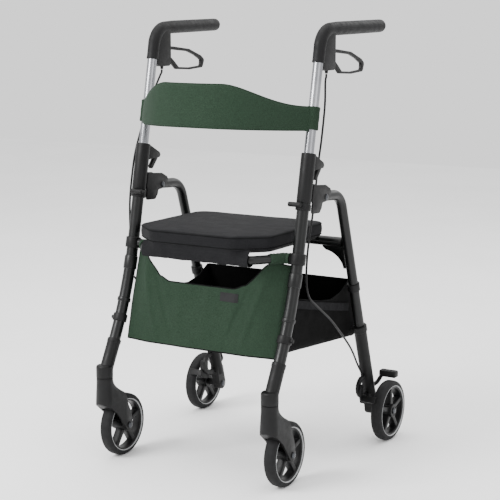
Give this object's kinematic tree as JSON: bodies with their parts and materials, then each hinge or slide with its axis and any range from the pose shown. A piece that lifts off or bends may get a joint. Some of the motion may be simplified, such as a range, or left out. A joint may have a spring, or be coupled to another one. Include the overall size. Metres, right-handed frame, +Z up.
{
  "type": "four-wheeled rollator",
  "caption": "Folding walking frame on wheels with height-adjustable handles, loop brakes, padded seat, curved backrest and an under-seat bag.",
  "frame": {"origin": "on the floor, halfway between the left and right sides and 4 mm ahead of the middle of the front-to-rear length", "axes": "+Z up; +Y towards the user who walks behind the frame, -Y the way it rolls forward; +X to the right seen from the front"},
  "size_m": [0.5876, 0.5996, 1.0385],
  "materials": {
    "frame_black": "satin black powder coat on steel tube",
    "handle_aluminium": "brushed and clear anodised",
    "zinc_steel": "zinc plated",
    "black_plastic": "fine moulded grain",
    "wheel_plastic": "moulded, slightly glossy",
    "cable_plastic": "extruded cable sheath",
    "grip_rubber": "soft moulded rubber with fine grooves",
    "tyre": "matt polyurethane tyre",
    "seat_fabric": "black polyester weave",
    "green_fabric": "dark green melange weave",
    "bag_fabric": "black coated polyester",
    "webbing": "woven black webbing"
  },
  "bodies": {
    "front_frame": {"left_front_leg": "frame_black", "left_post_sleeve": "black_plastic", "left_crossbar_collar": "frame_black", "left_hanger_peg": "black_plastic", "left_front_strap_clamp": "black_plastic", "left_caster_socket": "black_plastic", "left_frame_pivot_pin": "zinc_steel", "left_bag_side_strap": "webbing", "left_brake_cable": "cable_plastic", "right_front_leg": "frame_black", "right_post_sleeve": "black_plastic", "right_crossbar_collar": "frame_black", "right_hanger_peg": "black_plastic", "right_front_strap_clamp": "black_plastic", "right_caster_socket": "black_plastic", "right_frame_pivot_pin": "zinc_steel", "right_bag_side_strap": "webbing", "right_brake_cable": "cable_plastic", "front_crossbar": "frame_black", "bag_front_panel": "green_fabric", "bag_body": "bag_fabric"},
    "rear_frame": {"left_rear_leg": "frame_black", "left_leg_end": "black_plastic", "left_rear_strap_clamp": "black_plastic", "left_rear_axle": "zinc_steel", "right_rear_leg": "frame_black", "right_leg_end": "black_plastic", "right_rear_strap_clamp": "black_plastic", "right_rear_axle": "zinc_steel", "rear_crossbar": "frame_black"},
    "seat": {"seat_cushion": "seat_fabric", "seat_board": "black_plastic", "seat_flap": "seat_fabric"},
    "left_caster": {"left_fork": "black_plastic", "left_caster_stem": "zinc_steel", "left_front_axle": "zinc_steel"},
    "left_front_wheel": {"left_front_tyre": "tyre", "left_front_rim": "wheel_plastic"},
    "left_rear_wheel": {"left_rear_tyre": "tyre", "left_rear_rim": "wheel_plastic"},
    "left_brake_arm": {"left_brake_arm": "zinc_steel"},
    "left_handle": {"left_handle_tube": "handle_aluminium", "left_grip": "grip_rubber", "left_brake_housing": "black_plastic", "backrest": "green_fabric"},
    "left_lever": {"left_brake_lever": "black_plastic"},
    "left_latch": {"left_height_latch": "black_plastic"},
    "right_caster": {"right_fork": "black_plastic", "right_caster_stem": "zinc_steel", "right_front_axle": "zinc_steel"},
    "right_front_wheel": {"right_front_tyre": "tyre", "right_front_rim": "wheel_plastic"},
    "right_rear_wheel": {"right_rear_tyre": "tyre", "right_rear_rim": "wheel_plastic"},
    "right_brake_arm": {"right_brake_arm": "zinc_steel"},
    "right_handle": {"right_handle_tube": "handle_aluminium", "right_grip": "grip_rubber", "right_brake_housing": "black_plastic"},
    "right_lever": {"right_brake_lever": "black_plastic"},
    "right_latch": {"right_height_latch": "black_plastic"}
  },
  "joints": [
    {"name": "rear_fold", "type": "hinge", "parent": "front_frame", "child": "rear_frame", "pos_m": [0, -0.05, 0.642], "axis": [-1, 0, 0], "range_deg": [0, 25], "deforming": ["bag_body", "left_bag_side_strap", "right_bag_side_strap", "left_brake_cable", "right_brake_cable"]},
    {"name": "seat_flip", "type": "hinge", "parent": "front_frame", "child": "seat", "pos_m": [0, -0.2206, 0.512], "axis": [1, 0, 0], "range_deg": [0, 50]},
    {"name": "left_caster_swivel", "type": "hinge", "parent": "front_frame", "child": "left_caster", "pos_m": [-0.2262, -0.275, 0.19], "axis": [0, 0, 1], "continuous": true},
    {"name": "left_front_wheel_spin", "type": "hinge", "parent": "left_caster", "child": "left_front_wheel", "pos_m": [-0.2262, -0.208, 0.075], "axis": [1, 0, 0], "continuous": true},
    {"name": "left_rear_wheel_spin", "type": "hinge", "parent": "rear_frame", "child": "left_rear_wheel", "pos_m": [-0.274, 0.229, 0.075], "axis": [1, 0, 0], "continuous": true},
    {"name": "left_handle_height", "type": "slide", "parent": "front_frame", "child": "left_handle", "axis": [0, 0.1994, 0.9799], "range_m": [-0.04, 0.06], "deforming": ["left_brake_cable"]},
    {"name": "left_height_latch", "type": "hinge", "parent": "front_frame", "child": "left_latch", "pos_m": [-0.2262, -0.053, 0.714], "axis": [-1, 0, 0], "range_deg": [0, 18], "stiffness_Nm_per_rad": 0.3, "springref_deg": -20.05},
    {"name": "left_brake_lever", "type": "hinge", "parent": "left_handle", "child": "left_lever", "pos_m": [-0.2262, -0.008, 0.96], "axis": [1, 0, 0], "range_deg": [0, 18], "stiffness_Nm_per_rad": 0.8, "springref_deg": -14.32},
    {"name": "left_brake_arm_swing", "type": "hinge", "parent": "rear_frame", "child": "left_brake_arm", "pos_m": [-0.2262, 0.16, 0.145], "axis": [1, 0, 0], "range_deg": [0, 5.4]},
    {"name": "right_caster_swivel", "type": "hinge", "parent": "front_frame", "child": "right_caster", "pos_m": [0.2262, -0.275, 0.19], "axis": [0, 0, 1], "continuous": true},
    {"name": "right_front_wheel_spin", "type": "hinge", "parent": "right_caster", "child": "right_front_wheel", "pos_m": [0.2262, -0.208, 0.075], "axis": [1, 0, 0], "continuous": true},
    {"name": "right_rear_wheel_spin", "type": "hinge", "parent": "rear_frame", "child": "right_rear_wheel", "pos_m": [0.274, 0.229, 0.075], "axis": [1, 0, 0], "continuous": true},
    {"name": "right_handle_height", "type": "slide", "parent": "front_frame", "child": "right_handle", "axis": [0, 0.1994, 0.9799], "range_m": [-0.04, 0.06], "deforming": ["right_brake_cable"]},
    {"name": "right_height_latch", "type": "hinge", "parent": "front_frame", "child": "right_latch", "pos_m": [0.2262, -0.053, 0.714], "axis": [-1, 0, 0], "range_deg": [0, 18], "stiffness_Nm_per_rad": 0.3, "springref_deg": -20.05},
    {"name": "right_brake_lever", "type": "hinge", "parent": "right_handle", "child": "right_lever", "pos_m": [0.2262, -0.008, 0.96], "axis": [1, 0, 0], "range_deg": [0, 18], "stiffness_Nm_per_rad": 0.8, "springref_deg": -14.32},
    {"name": "right_brake_arm_swing", "type": "hinge", "parent": "rear_frame", "child": "right_brake_arm", "pos_m": [0.2262, 0.16, 0.145], "axis": [1, 0, 0], "range_deg": [0, 5.4]}
  ],
  "couplings": [
    {"joint": "right_handle_height", "follows": "left_handle_height", "ratio": 1},
    {"joint": "left_brake_arm_swing", "follows": "left_brake_lever", "ratio": 0.3},
    {"joint": "right_brake_arm_swing", "follows": "right_brake_lever", "ratio": 0.3}
  ]
}
